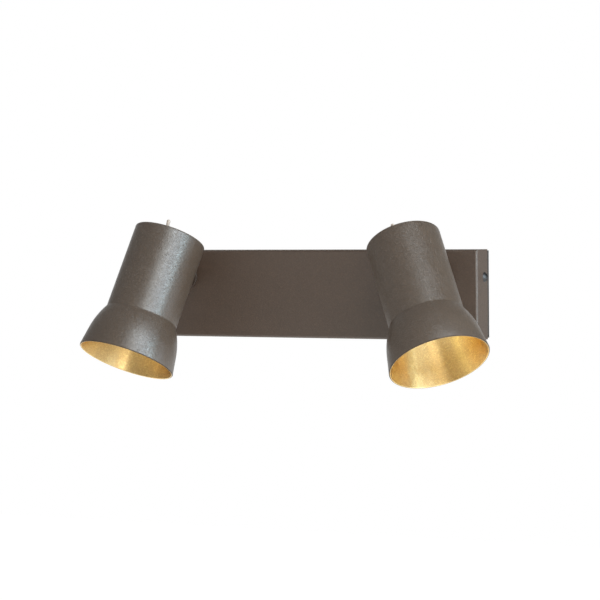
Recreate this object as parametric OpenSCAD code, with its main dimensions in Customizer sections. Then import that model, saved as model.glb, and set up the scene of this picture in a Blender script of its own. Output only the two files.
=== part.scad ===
// Double reading wall lamp.
// A long sheet-metal housing hangs on a wall bracket and carries two spot heads.
// Each head pans on a hollow threaded stem, tilts on a knuckle and has its own toggle switch.
// Frame: X to the right, Z up, Y into the wall. The origin is the middle of the back face.

/* [Housing] */
// Width of the housing cover
cover_w = 282; // [262:1:360]
// Height of the housing cover
cover_h = 70; // [64:1:90]
// Distance from the wall to the front face of the cover
cover_front = 29.5; // [27:0.5:40]
// Sheet thickness of the cover
cover_t = 1; // [0.8:0.1:1.5]
// Outside radius of the folds of the cover
cover_fold_r = 1.8; // [1.6:0.1:3]
// Width of the open seams between the folded flanges of the cover
seam_w = 0.4; // [0.2:0.1:0.8]
// Chamfer on the rear corners of the end flanges
flange_chamfer = 0.6; // [0.3:0.1:3]
// Gap between the wall and the rear edge of the cover
cover_standoff = 7; // [3:0.1:8]
// Sheet thickness of the wall bracket
bracket_t = 1.2; // [1:0.1:2]
// Inside radius of the folds of the wall bracket
bracket_bend_r = 0.3; // [0.2:0.1:2]
// Depth of the end tabs of the wall bracket
tab_depth = 19; // [17:0.5:24]
// Depth of the upper and lower lips of the wall bracket
lip_depth = 12; // [9:0.5:14]

/* [Wall fixing] */
// Distance between the two wall slots
wall_slot_spacing = 120; // [90:1:150]
// Width of a wall slot
wall_slot_w = 5; // [4:0.1:6]
// Distance between the centres of the round ends of a wall slot
wall_slot_l = 8; // [4:0.5:14]
// Bore of the cable grommet
cable_bore = 8; // [5:0.5:9]
// Hole for the cable grommet
grommet_hole = 14; // [12:0.5:18]
// Height of the cable entry below the middle
cable_drop = 14; // [10:0.5:18]
// Height of the cover screws above the middle
cover_screw_z = 13.5; // [5:0.5:20]
// Distance from the wall to the axis of the cover screws
cover_screw_y = 13.6; // [12:0.1:15]
// Thread of the cover screws
cover_screw_d = 3.5; // [3:0.5:4]
// Head of the cover screws
cover_screw_head = 7.9; // [6:0.1:9]

/* [Swivel joint] */
// Distance from each end of the cover to its pan axis
joint_inset = 30.5; // [22:0.5:41]
// Height of the pan axes above the middle
joint_z = 13.5; // [5:0.5:15]
// Outside diameter of the threaded stems
stem_d = 9.9; // [9:0.1:12]
// Bore of the threaded stems
stem_bore = 6.5; // [5:0.1:7]
// Diameter of the flange on the front of the cover
flange_d = 20; // [18:0.5:24]
// Thickness of that flange
flange_t = 2.2; // [1.5:0.1:3]
// Distance from the front of the cover to the tilt axis
knuckle_reach = 12; // [11.5:0.1:16]
// Outside diameter of the fork
fork_d = 17.2; // [16:0.1:19]
// Width of the slot in the fork
fork_slot = 10.2; // [9:0.1:10.5]
// Radius of the rounded knuckle ends
knuckle_r = 6.5; // [6:0.1:7]
// Thread of the two pivot screws in each knuckle
pivot_d = 4; // [3:0.1:4.5]

/* [Head] */
// Gap between the tilt axis and the outside of the barrel
barrel_gap = 9.2; // [8.7:0.1:15]
// Distance from the tilt axis to the rear face of the head
rear_rise = 19.5; // [16:0.5:22]
// Outside diameter of the straight barrel
barrel_d = 57.6; // [56:0.1:60]
// Length of the straight barrel
barrel_l = 69.8; // [60:0.1:76]
// Overall length of the head shell
head_l = 107; // [96:1:130]
// Wall thickness of the spun head shell
shell_t = 1.2; // [0.8:0.1:1.6]
// Outside radius of the rear edge
rear_edge_r = 1; // [0.5:0.1:1.8]
// Slope of the shoulder where the flare starts
shoulder_angle = 28.6; // [15:0.1:40]
// Slope of the flare at the mouth
mouth_angle = 8.7; // [4:0.1:14]
// Radius of the long curve of the flare
flare_r = 64; // [40:1:80]
// Radius of the small inward curve at the shoulder
shoulder_r = 3; // [1:0.1:6]

/* [Toggle switch] */
// Distance of the switch in front of the axis of the head
switch_front = 12.7; // [12.5:0.1:16]
// Sideways distance of the switch from the middle of the head
switch_side = 2; // [-4:0.5:4]
// Lean of the lever to either side of upright
lever_lean = 15; // [10:1:16]
// Height of the lever tip above the rear face
lever_h = 9; // [7:0.1:11]
// Diameter of the lever tip
lever_tip_d = 3.4; // [2.6:0.1:4]
// Diameter of the lever at its ball
lever_root_d = 2; // [1.6:0.1:2.4]
// Diameter of the threaded bushing
bushing_d = 6.4; // [6:0.1:7]

/* [Lamp] */
// Diameter of the reflector lamp
lamp_d = 50; // [40:0.5:51]
// Length of the lamp without its pins
lamp_l = 47; // [38:1:52]
// Distance between the two lamp pins
pin_spacing = 10; // [9:0.5:11]
// Width of the lampholder
holder_w = 28; // [24:0.5:30]
// Depth of the lampholder
holder_d = 15.5; // [14:0.5:16]
// Length of the lampholder
holder_l = 17; // [14:0.5:18]

/* [Pose] */
// Turn of the left head about its stem, to the left
pan_left = 10; // [-60:1:60]
// Lean of the mouth of the left head out from the wall
tilt_left = 24.3; // [0:0.1:50]
// Turn of the right head about its stem, to the left
pan_right = -26.7; // [-60:0.1:60]
// Lean of the mouth of the right head out from the wall
tilt_right = 21.8; // [0:0.1:50]

/* [Hidden] */
$fn = 64;
// Facets of the barrel-sized cylinders that seat small parts
fine = 256;
LEFT = -1;
RIGHT = 1;
// Length that a cutting tool stands past the face that it cuts
over = 1;
// Clearance of a turning part against a flat neighbour
turn_gap = 0.1;
// Radial clearance of a pin or shaft in its hole
fit = 0.05;
// Clearance of a curved seat
seat = 0.05;
// Room of a clearance hole round its thread
hole_room = 0.3;
// Small chamfer on the edges of turned parts
edge = 0.4;

inner_w = cover_w - 2 * cover_t;
inner_h = cover_h - 2 * cover_t;
cover_rear_y = -cover_standoff;
bracket_fold_r = bracket_t + bracket_bend_r;
joint_spacing = cover_w - 2 * joint_inset;
axis_reach = barrel_d / 2 + barrel_gap;

rose_t = 0.6;
flange_base = rose_t + turn_gap;
slot_floor = knuckle_reach - knuckle_r - 0.8;
spot_face_x = fork_d / 2 - 1.2;
pivot_tip_x = 2.9;
pivot_head_d = 7;
pivot_head_t = 1.8;
tongue_w = fork_slot - 2 * turn_gap;
tongue_bore = 5;
foot_d = 16;
strap_w = 14;
strap_inset = 1;
foot_base = knuckle_r + 0.5;
saddle_t = 2;
strap_t = 1;
nut_af = 14;
nut_t = 3;
stem_nut_t = 4;
friction_t = 0.6;
stop_t = 1.2;
stop_reach = 15;
stop_tab_w = 4;
stop_stud_d = 3;
stop_stud_r = 13;
spring_h = 1.5;
spring_t = 0.8;
washer_d = 18;
washer_bore = stem_d + hole_room;

// Depths behind the front face of the cover, along the stem
friction_back = cover_t + friction_t;
stop_back = friction_back + turn_gap + stop_t;
spring_back = stop_back + spring_h;
nut_back = spring_back + stem_nut_t;
stem_back = nut_back + 2;

// Distances from the tilt axis towards the axis of the head
wall_in = barrel_gap + shell_t;
strap_seat = wall_in + saddle_t;
nut_seat = strap_seat + strap_t;
stub_end = nut_seat + nut_t + 1;

// Lengths along the head, from its rear face towards the mouth
strap_z = 6;
holder_z = strap_z + strap_t;
lamp_z = holder_z + holder_l + 0.3;
lamp_front = lamp_z + lamp_l;
pin_l = 7;
pin_head_d = 5;
pin_neck_d = 4;
pin_hole_d = 5.6;
holder_screw_x = holder_w / 2 - 3.5;
lamp_rim_w = 2.4;
lamp_rim_d = 3;
lens_dome = 1;
lens_facets = 200;
port_d = 2.6;
port_depth = 2.5;
port_y = 3;
switch_w = 13.2;
switch_d = 8;
switch_h = 9.5;
bushing_h = 3.2;
bushing_bore = 5;
switch_nut_t = 1.8;
switch_nut_af = 8;
lug_l = 4;
lug_w = 2;
lug_t = 0.8;
lug_spacing = 4.7;
lead_d = 1.8;
lead_sides = 8;
lead_steps = 4;

terminal_z = 6;
pole_spacing = 8;
pole_w = 6.8;
terminal_w = 3 * pole_spacing + 9;
terminal_h = 17;
terminal_t = 13;
entry_d = 4.4;
entry_depth = 9;
stud_x = 34;
tongue_d = 8;
stud_z = 14;

function pan_of(side) = side == LEFT ? pan_left : pan_right;
function tilt_of(side) = side == LEFT ? tilt_left : tilt_right;

// Places its children on a pan axis. X is across, Y up the head and Z out of the cover.
module pan_frame(side) {
    translate([side * joint_spacing / 2, -cover_front, joint_z])
        rotate([0, pan_of(side), 0])
            rotate([90, 0, 0])
                children();
}

// Places its children on a tilt axis. X is the tilt axis and Z points at the head.
module tilt_frame(side) {
    pan_frame(side)
        translate([0, 0, knuckle_reach])
            rotate([-tilt_of(side), 0, 0])
                children();
}

// Places its children in a head. Z runs from the rear face to the mouth, Y to the front.
module head_frame(side) {
    tilt_frame(side)
        translate([0, rear_rise, axis_reach])
            rotate([90, 0, 0])
                children();
}

// Places its children on the switch. Z points out of the rear face.
module switch_frame(side) {
    head_frame(side)
        translate([switch_side, switch_front, 0])
            rotate([180, 0, 0])
                children();
}

// A ring with its lower face at zero.
module ring(outer, inner, h) {
    difference() {
        cylinder(d = outer, h = h);
        translate([0, 0, -over])
            cylinder(d = inner, h = h + 2 * over);
    }
}

// A round disc along Z whose two rims are chamfered.
module soft_disc(d, h) {
    rotate_extrude()
        polygon([
            [0, 0],
            [d / 2 - edge, 0],
            [d / 2, edge],
            [d / 2, h - edge],
            [d / 2 - edge, h],
            [0, h]
        ]);
}

// A hexagon nut with turned corners, given by its width across flats.
module hex_nut(across, inner, h) {
    corner_r = across / sqrt(3);
    drop = (corner_r - across / 2) * tan(30);
    difference() {
        intersection() {
            cylinder(r = corner_r, h = h, $fn = 6);
            rotate_extrude()
                polygon([
                    [0, 0],
                    [across / 2, 0],
                    [corner_r, drop],
                    [corner_r, h - drop],
                    [across / 2, h],
                    [0, h]
                ]);
        }
        translate([0, 0, -over])
            cylinder(d = inner, h = h + 2 * over);
    }
}

// A domed screw head with its flat face at zero and a straight slot.
module domed_head(d, h) {
    dome_r = (d * d / 4 + h * h) / (2 * h);
    difference() {
        intersection() {
            cylinder(d = d, h = h);
            translate([0, 0, h - dome_r])
                sphere(r = dome_r);
        }
        translate([-d, -d * 0.07, h * 0.55])
            cube([2 * d, d * 0.14, h]);
    }
}

// A screw along Z with its head above zero and its shank below.
module screw(d, l, head_d, head_h) {
    domed_head(head_d, head_h);
    translate([0, 0, -l])
        cylinder(d = d, h = l + head_h * 0.3);
}

// A rectangle from y = -depth to y = 0 whose two far corners are round.
module fold_profile(w, depth, r) {
    translate([-w / 2, r - depth])
        square([w, depth - r]);
    translate([r - w / 2, -depth])
        square([w - 2 * r, depth]);
    for (side = [LEFT, RIGHT])
        translate([side * (w / 2 - r), r - depth])
            circle(r = r);
}

// A block with its face at y = -front, rounded along the four edges of that face.
module folded_block(w, h, front, r) {
    intersection() {
        linear_extrude(height = h, center = true)
            fold_profile(w, front, r);
        rotate([0, 90, 0])
            linear_extrude(height = w, center = true)
                fold_profile(h, front, r);
    }
}

// The same block turned round, with its rounded face at y = 0.
module folded_back(w, h, depth, r) {
    translate([0, -depth, 0])
        mirror([0, 1, 0])
            folded_block(w, h, depth, r);
}

// A slot through the back of the bracket for a wall screw.
module wall_slot() {
    rotate([90, 0, 0])
        linear_extrude(height = 4 * bracket_t, center = true) {
            square([wall_slot_l, wall_slot_w], center = true);
            for (side = [LEFT, RIGHT])
                translate([side * wall_slot_l / 2, 0])
                    circle(d = wall_slot_w);
        }
}

// Folded pan that is screwed to the wall. The cover slides over its end tabs.
module wall_bracket() {
    color("dimgray")
        difference() {
            folded_back(inner_w, inner_h, tab_depth, bracket_fold_r);
            translate([0, -bracket_t, 0])
                folded_back(
                    inner_w - 2 * bracket_t,
                    inner_h - 2 * bracket_t,
                    tab_depth,
                    bracket_fold_r - bracket_t
                );
            // The long lips are lower than the end tabs
            translate([0, -lip_depth - tab_depth / 2, 0])
                cube([inner_w - 2 * bracket_fold_r, tab_depth, inner_h + 2 * over], center = true);
            for (side = [LEFT, RIGHT])
                translate([side * wall_slot_spacing / 2, 0, 0])
                    wall_slot();
            translate([0, 0, -cable_drop])
                rotate([90, 0, 0])
                    cylinder(d = grommet_hole, h = 4 * bracket_t, center = true);
            translate([0, -cover_screw_y, cover_screw_z])
                rotate([0, 90, 0])
                    cylinder(d = cover_screw_d, h = cover_w, center = true);
        }
}

// Triangle that takes one rear corner off an end flange.
module corner_cut() {
    rotate([0, 90, 0])
        linear_extrude(height = 3 * cover_t, center = true)
            polygon([[-over, -over], [flange_chamfer, -over], [-over, flange_chamfer]]);
}

// Folded tray that closes the housing and carries the two swivel joints.
module housing_cover() {
    slot_l = cover_screw_y - cover_standoff;
    color([0.33, 0.29, 0.26])
        difference() {
            folded_block(cover_w, cover_h, cover_front, cover_fold_r);
            translate([0, over, 0])
                folded_block(
                    inner_w,
                    inner_h,
                    cover_front - cover_t + over,
                    cover_fold_r - cover_t
                );
            translate([0, over - cover_standoff / 2, 0])
                cube([cover_w + 2 * over, cover_standoff + 2 * over, cover_h + 2 * over], center = true);
            for (side = [LEFT, RIGHT]) {
                translate([side * joint_spacing / 2, -cover_front, joint_z])
                    rotate([90, 0, 0])
                        cylinder(d = stem_d + 2 * fit, h = 4 * cover_t, center = true);
                // Open slot over the cover screw
                translate([side * cover_w / 2, -cover_screw_y, cover_screw_z]) {
                    rotate([0, 90, 0])
                        cylinder(d = cover_screw_d + 4 * fit, h = 4 * cover_t, center = true);
                    translate([0, slot_l / 2 + over / 2, 0])
                        cube([4 * cover_t, slot_l + over, cover_screw_d + 4 * fit], center = true);
                }
                // Seams between the upper and lower flanges and the end flanges
                for (level = [LEFT, RIGHT])
                    translate([
                        side * (cover_w / 2 - cover_t - seam_w / 2),
                        -(cover_standoff + cover_front - 2 * cover_fold_r) / 2,
                        level * (cover_h / 2)
                    ])
                        cube([
                            seam_w,
                            cover_front - cover_standoff - 2 * cover_fold_r + 2 * over,
                            2 * cover_t
                        ], center = true);
                translate([side * cover_w / 2, cover_rear_y, cover_h / 2])
                    mirror([0, 1, 0])
                        corner_cut();
                translate([side * cover_w / 2, cover_rear_y, -cover_h / 2])
                    mirror([0, 0, 1])
                        mirror([0, 1, 0])
                            corner_cut();
            }
        }
}

// The two screws that hold the cover to the end tabs of the bracket.
module cover_screws() {
    color("darkslategray")
        for (side = [LEFT, RIGHT])
            translate([side * cover_w / 2, -cover_screw_y, cover_screw_z])
                rotate([0, side * 90, 0])
                    screw(cover_screw_d - 2 * fit, 8, cover_screw_head, 2.4);
}

// Rubber grommet that lines the cable entry, flush with the wall face.
module cable_grommet() {
    flange_h = 2;
    color("black")
        translate([0, 0, -cable_drop])
            rotate([90, 0, 0])
                difference() {
                    union() {
                        cylinder(d = grommet_hole - 2 * fit, h = bracket_t + flange_h / 2);
                        translate([0, 0, bracket_t])
                            cylinder(d = grommet_hole + 4, h = flange_h);
                    }
                    translate([0, 0, -over])
                        cylinder(d = cable_bore, h = bracket_t + flange_h + 2 * over);
                }
}

// Terminal block

// Places its children on the base of the terminal block, with Z out of the bracket.
module terminal_frame() {
    translate([0, -bracket_t, terminal_z])
        rotate([90, 0, 0])
            children();
}

// Moulded three-pole block with a wire entry at both ends of each pole.
module terminal_block() {
    color("ivory")
        terminal_frame()
            difference() {
                union() {
                    translate([-terminal_w / 2, -terminal_h / 4, 0])
                        cube([terminal_w, terminal_h / 2, 4]);
                    for (pole = [-1:1])
                        translate([pole * pole_spacing - pole_w / 2, -terminal_h / 2, 0])
                            cube([pole_w, terminal_h, terminal_t]);
                    translate([-pole_spacing, -terminal_h / 4, 0])
                        cube([2 * pole_spacing, terminal_h / 2, terminal_t - 4]);
                }
                for (pole = [-1:1], end = [-1, 1]) {
                    translate([pole * pole_spacing, end * (terminal_h / 2 - entry_depth), terminal_t / 2])
                        rotate([-90 * end, 0, 0])
                            cylinder(d = entry_d, h = entry_depth + over);
                    translate([pole * pole_spacing, end * terminal_h / 4, terminal_t / 2])
                        cylinder(d = 3.6, h = terminal_t);
                }
                for (side = [LEFT, RIGHT])
                    translate([side * (terminal_w / 2 - 2.2), 0, -over])
                        cylinder(d = 3.1, h = terminal_t);
            }
}

// Clamping screws of the terminal block, two to a pole.
module terminal_screws() {
    color("silver")
        terminal_frame()
            for (pole = [-1:1], end = [-1, 1])
                translate([pole * pole_spacing, end * terminal_h / 4, terminal_t - 1.6])
                    screw(2.4, 2.6, 3.4, 1);
}

// The two screws that hold the terminal block to the bracket.
module terminal_mount_screws() {
    color("silver")
        terminal_frame()
            for (side = [LEFT, RIGHT])
                translate([side * (terminal_w / 2 - 2.2), 0, 4])
                    screw(2.9, 4, 5, 1.6);
}

// Welded earth stud with its nut and a toothed washer.
module earth_stud() {
    color("goldenrod")
        translate([stud_x, -bracket_t, stud_z])
            rotate([90, 0, 0]) {
                cylinder(d = 4, h = 10);
                cylinder(d = 8.5, h = 0.8);
                translate([0, 0, 2.6])
                    hex_nut(7, 3.8, 3);
            }
}

// Leads

function unit(v) = v / norm(v);

// A point on the smooth curve through four points, between the middle two.
function curve_point(a, b, c, d, t) =
    0.5 * (2 * b + (c - a) * t + (2 * a - 5 * b + 4 * c - d) * t * t
        + (3 * b - a - 3 * c + d) * t * t * t);

// The points of a smooth curve that passes through a list of points.
function smooth_path(p, steps) = [
    for (i = [0:len(p) - 2], k = [0:steps - 1])
        curve_point(p[max(i - 1, 0)], p[i], p[i + 1], p[min(i + 2, len(p) - 1)], k / steps),
    p[len(p) - 1]
];

function tangents(p) = [
    for (i = [0:len(p) - 1])
        unit(p[min(i + 1, len(p) - 1)] - p[max(i - 1, 0)])
];

// Sideways directions carried along the tangents without twist.
function sideways(t, v, i = 0) =
    i == len(t) ? [] :
        let (w = unit(v - (v * t[i]) * t[i]))
            concat([w], sideways(t, w, i + 1));

// A round insulated wire whose middle runs along a list of points.
module lead(points) {
    p = smooth_path(points, lead_steps);
    t = tangents(p);
    u = sideways(t, [0.31, 0.93, 0.19]);
    n = lead_sides;
    last = (len(p) - 1) * n;
    polyhedron(
        [
            for (i = [0:len(p) - 1], k = [0:n - 1])
                p[i] + lead_d / 2 * (cos(360 * k / n) * u[i] + sin(360 * k / n) * cross(t[i], u[i]))
        ],
        concat(
            [[for (k = [0:n - 1]) k]],
            [[for (k = [n - 1:-1:0]) last + k]],
            [
                for (i = [0:len(p) - 2], k = [0:n - 1])
                    [i * n + k, (i + 1) * n + k, (i + 1) * n + (k + 1) % n]
            ],
            [
                for (i = [0:len(p) - 2], k = [0:n - 1])
                    [i * n + k, (i + 1) * n + (k + 1) % n, i * n + (k + 1) % n]
            ]
        )
    );
}

// Depth of the wire entries in front of the wall
entry_y = -bracket_t - terminal_t / 2;
// How far a lead runs straight out of an entry before it bends
lead_straight = 2;
// Height of the middle of the lead loom below the top of the housing
loom_drop = 6;
// Distance from the middle line where the loom has come together
loom_start = 40;
// Distance before the stem where the loom starts to bend down
loom_end = 34;
// Height of the upper face of the terminal block
entry_z = terminal_z + terminal_h / 2;

// The two leads from the terminal block into the stem of one head.
module inner_leads(side) {
    stem_x = side * joint_spacing / 2;
    back_y = stem_back - cover_front;
    loom_z = inner_h / 2 - loom_drop;
    color("saddlebrown")
        for (core = [0, 1]) {
            // The lead from the farther pole runs above the other one
            rank = side == LEFT ? core : 1 - core;
            apart = (rank - 0.5) * 2.6;
            layer_y = entry_y - 1 + side * 1.4;
            pole_x = (core - 1) * pole_spacing + side * 1.1;
            lead([
                [pole_x, entry_y, entry_z - entry_depth + lead_straight],
                [pole_x, entry_y, entry_z - lead_straight],
                [pole_x, entry_y, entry_z + lead_straight],
                [pole_x + side * 3, layer_y, loom_z - 3 + apart],
                [pole_x + side * 9, layer_y, loom_z - 0.5 + apart],
                [side * loom_start, layer_y, loom_z + apart],
                [stem_x - side * loom_end, layer_y, loom_z - 0.5 + apart],
                [stem_x - side * 7 + side * apart, layer_y + 1, joint_z + 7 + apart],
                [stem_x + side * apart, back_y + 6, joint_z],
                [stem_x + side * apart, back_y + 1, joint_z],
                [stem_x + side * apart, back_y - 5, joint_z]
            ]);
        }
}

// Lead from the earth pole to the earth stud on the bracket.
module earth_lead() {
    color("olivedrab") {
        lead([
            [pole_spacing, entry_y, entry_z - entry_depth + lead_straight],
            [pole_spacing, entry_y, entry_z + lead_straight],
            [pole_spacing + 5, entry_y + 1, entry_z + 6],
            [stud_x - 1.5 * tongue_d, entry_y + 2, stud_z + 2],
            [stud_x - 0.75 * tongue_d, -bracket_t - 1.9, stud_z],
            [stud_x - tongue_d / 2, -bracket_t - 1.7, stud_z]
        ]);
        // Ring tongue under the nut of the stud
        translate([stud_x, -bracket_t - 0.8, stud_z])
            rotate([90, 0, 0])
                ring(tongue_d, 4.1, 1.8);
    }
}

// Swivel joints

// Thin nylon washers between the flanges and the front of the cover.
module rose_washers() {
    color("black")
        for (side = [LEFT, RIGHT])
            translate([side * joint_spacing / 2, -cover_front, joint_z])
                rotate([90, 0, 0])
                    ring(flange_d - 1, washer_bore, rose_t);
}

// Fibre washers that brake the stems on the inside of the cover.
module friction_washers() {
    color("firebrick")
        for (side = [LEFT, RIGHT])
            translate([side * joint_spacing / 2, friction_back - cover_front, joint_z])
                rotate([90, 0, 0])
                    ring(washer_d, washer_bore, friction_t);
}

// Studs welded inside the cover, which stop each head just short of a full turn.
module stop_studs() {
    color("silver")
        for (side = [LEFT, RIGHT])
            translate([side * joint_spacing / 2, cover_t - cover_front, joint_z + stop_stud_r])
                rotate([-90, 0, 0])
                    cylinder(d = stop_stud_d, h = stop_back - cover_t + 1);
}

// The body of a knuckle: a round bar along Z with its far end rounded about X.
module knuckle_profile(w, reach, base) {
    translate([-w / 2, -knuckle_r, base])
        cube([w, 2 * knuckle_r, reach - base]);
    translate([0, 0, reach])
        rotate([0, 90, 0])
            cylinder(r = knuckle_r, h = w, center = true);
}

// Turned fork with a hollow threaded stem, the part that pans.
module swivel_fork(side) {
    color([0.3, 0.27, 0.24])
        pan_frame(side)
            difference() {
                union() {
                    translate([0, 0, -stem_back])
                        cylinder(d = stem_d, h = stem_back + flange_base + 1);
                    translate([0, 0, flange_base])
                        soft_disc(flange_d, flange_t);
                    intersection() {
                        translate([0, 0, flange_base])
                            cylinder(d = fork_d, h = knuckle_reach + knuckle_r);
                        knuckle_profile(fork_d, knuckle_reach, flange_base);
                    }
                }
                translate([-fork_slot / 2, -flange_d, slot_floor])
                    cube([fork_slot, 2 * flange_d, knuckle_reach + knuckle_r]);
                translate([0, 0, -stem_back - over])
                    cylinder(d = stem_bore, h = stem_back + knuckle_reach);
                translate([0, 0, knuckle_reach])
                    rotate([0, 90, 0])
                        cylinder(d = pivot_d, h = fork_d + 2 * over, center = true);
                for (end = [LEFT, RIGHT])
                    translate([end * spot_face_x, 0, knuckle_reach])
                        rotate([0, end * 90, 0])
                            cylinder(d = pivot_head_d + 0.4, h = fork_d);
            }
}

// Washer keyed to the stem, with a tab that meets the stop stud.
module stop_washer(side) {
    color("silver")
        pan_frame(side)
            translate([0, 0, -stop_back])
                difference() {
                    union() {
                        cylinder(d = washer_d + 1, h = stop_t);
                        translate([-stop_tab_w / 2, -stop_reach, 0])
                            cube([stop_tab_w, stop_reach, stop_t]);
                    }
                    translate([0, 0, -over])
                        cylinder(d = stem_d + 2 * fit, h = stop_t + 2 * over);
                }
}

// Dished spring washer that keeps the friction even.
module spring_washer(side) {
    color("gray")
        pan_frame(side)
            translate([0, 0, -spring_back])
                rotate_extrude()
                    polygon([
                        [washer_bore / 2, 0],
                        [washer_bore / 2 + spring_t, 0],
                        [washer_d / 2, spring_h - spring_t / 2],
                        [washer_d / 2, spring_h],
                        [washer_d / 2 - spring_t, spring_h],
                        [washer_bore / 2, spring_t]
                    ]);
}

// Self-locking nut at the inner end of the stem.
module swivel_nut(side) {
    color("silver")
        pan_frame(side)
            translate([0, 0, -nut_back])
                hex_nut(nut_af, stem_d + 2 * fit, stem_nut_t);
}

// Two short shoulder screws on the tilt axis, which leave the wire way open between them.
module knuckle_screws(side) {
    color("darkslategray")
        pan_frame(side)
            for (end = [LEFT, RIGHT])
                translate([end * spot_face_x, 0, knuckle_reach])
                    rotate([0, end * 90, 0])
                        screw(pivot_d - 2 * fit, spot_face_x - pivot_tip_x, pivot_head_d, pivot_head_t);
}

// Tongue that tilts in the fork, with a saddle foot and a hollow stub into the head.
module head_knuckle(side) {
    color([0.3, 0.27, 0.24])
        tilt_frame(side)
            difference() {
                union() {
                    rotate([0, 90, 0])
                        cylinder(r = knuckle_r, h = tongue_w, center = true);
                    translate([-tongue_w / 2, -knuckle_r + 1, 0])
                        cube([tongue_w, 2 * knuckle_r - 2, foot_base + over]);
                    difference() {
                        union() {
                            translate([0, 0, foot_base])
                                cylinder(d1 = foot_d - 2 * edge, d2 = foot_d, h = edge);
                            translate([0, 0, foot_base + edge])
                                cylinder(d = foot_d, h = wall_in - foot_base - edge);
                        }
                        translate([0, 0, axis_reach])
                            rotate([90, 0, 0])
                                cylinder(
                                    d = barrel_d + 2 * seat,
                                    h = 4 * foot_d,
                                    center = true,
                                    $fn = fine
                                );
                    }
                    translate([0, 0, foot_base])
                        cylinder(d = stem_d, h = stub_end - foot_base);
                }
                rotate([0, 90, 0])
                    cylinder(d = pivot_d, h = 2 * fork_d, center = true);
                translate([0, 0, -knuckle_r - over])
                    cylinder(d = tongue_bore, h = stub_end + knuckle_r + 2 * over);
                // Bell mouth in which the leads bend as the head tilts
                translate([0, 0, -knuckle_r])
                    cylinder(d1 = tongue_bore + 3.6, d2 = tongue_bore, h = knuckle_r - 1);
            }
}

// Saddle washer that turns the round inside of the barrel into a flat seat.
module saddle_washer(side) {
    color("silver")
        tilt_frame(side)
            difference() {
                intersection() {
                    translate([0, 0, wall_in - over])
                        cylinder(d = foot_d, h = saddle_t + over);
                    translate([0, 0, axis_reach])
                        rotate([90, 0, 0])
                            cylinder(
                                d = barrel_d - 2 * (shell_t + seat),
                                h = 4 * foot_d,
                                center = true,
                                $fn = fine
                            );
                }
                cylinder(d = washer_bore, h = axis_reach);
            }
}

// Nut on the stub, which clamps the barrel and the lampholder strap.
module knuckle_nut(side) {
    color("silver")
        tilt_frame(side)
            translate([0, 0, nut_seat])
                hex_nut(nut_af, stem_d + 2 * fit, nut_t);
}

// Heads

// Outline of the shell from the end of the barrel to the mouth, as radius and length,
// set in from the outer surface by a distance. The two curves keep their centres.
function flare_outline(inset) =
    let (
        a = shoulder_angle,
        m = mouth_angle,
        r0 = barrel_d / 2,
        hollow_r = shoulder_r + inset,
        round_r = flare_r - inset,
        centre_r = r0 + shoulder_r - (shoulder_r + flare_r) * cos(a),
        centre_z = barrel_l + (shoulder_r + flare_r) * sin(a),
        end_r = centre_r + round_r * cos(m),
        end_z = centre_z - round_r * sin(m)
    )
    [
        for (k = [0:4])
            [
                r0 + shoulder_r - hollow_r * cos(a * k / 4),
                barrel_l + hollow_r * sin(a * k / 4)
            ],
        for (k = [1:10])
            [
                centre_r + round_r * cos(a + (m - a) * k / 10),
                centre_z - round_r * sin(a + (m - a) * k / 10)
            ],
        [end_r + (head_l - end_z) * tan(m), head_l]
    ];

// Spun aluminium shell: closed rear, straight barrel, shoulder and flared mouth.
module head_shell(side) {
    outer = flare_outline(0);
    inner = flare_outline(shell_t);
    count = len(inner);
    color([0.36, 0.33, 0.29])
        difference() {
            head_frame(side)
                rotate_extrude()
                    polygon(concat(
                        [[0, 0]],
                        [
                            for (k = [0:4])
                                [
                                    barrel_d / 2 - rear_edge_r + rear_edge_r * sin(90 * k / 4),
                                    rear_edge_r - rear_edge_r * cos(90 * k / 4)
                                ]
                        ],
                        outer,
                        [for (k = [count - 1:-1:0]) inner[k]],
                        [[barrel_d / 2 - shell_t, shell_t], [0, shell_t]]
                    ));
            tilt_frame(side)
                cylinder(d = washer_bore, h = axis_reach);
            switch_frame(side)
                cylinder(d = bushing_d + 2 * fit, h = 4 * shell_t, center = true);
        }
}

// Folded strap that carries the lampholder from the nut on the stub.
module holder_strap(side) {
    leg_y = -(axis_reach - strap_seat);
    half = strap_w / 2;
    color("silver")
        head_frame(side)
            difference() {
                union() {
                    translate([-half, leg_y, strap_z])
                        cube([2 * half, strap_t, rear_rise + half - strap_z]);
                    translate([-half, leg_y, strap_z])
                        cube([2 * half, -leg_y, strap_t]);
                    translate([-holder_w / 2, -holder_d / 2, strap_z])
                        cube([holder_w, holder_d - strap_inset, strap_t]);
                }
                translate([0, leg_y - over, rear_rise])
                    rotate([-90, 0, 0])
                        cylinder(d = washer_bore, h = strap_t + 2 * over);
                for (end = [LEFT, RIGHT])
                    translate([end * holder_screw_x, 0, strap_z - over])
                        cylinder(d = 3, h = strap_t + 2 * over);
            }
}

// Ceramic two-pin lampholder.
module lampholder(side) {
    color("whitesmoke")
        head_frame(side)
            translate([0, 0, holder_z])
                difference() {
                    intersection() {
                        translate([-holder_w / 2, -holder_d / 2, 0])
                            cube([holder_w, holder_d, holder_l]);
                        cylinder(d = holder_w + 1, h = holder_l);
                    }
                    for (end = [LEFT, RIGHT]) {
                        translate([end * pin_spacing / 2, 0, holder_l - pin_l - 1])
                            cylinder(d = pin_hole_d, h = pin_l + 2 * over + 1);
                        translate([end * holder_screw_x, 0, -over])
                            cylinder(d = 3.2, h = holder_l + 2 * over);
                        translate([end * holder_screw_x, 0, holder_l - 2.6])
                            cylinder(d = 5.8, h = 4);
                        // Port for one lead in the side of the holder
                        translate([port_depth - holder_w / 2, end * port_y, holder_l / 2])
                            rotate([0, -90, 0])
                                cylinder(d = port_d, h = port_depth + over);
                    }
                }
}

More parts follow.
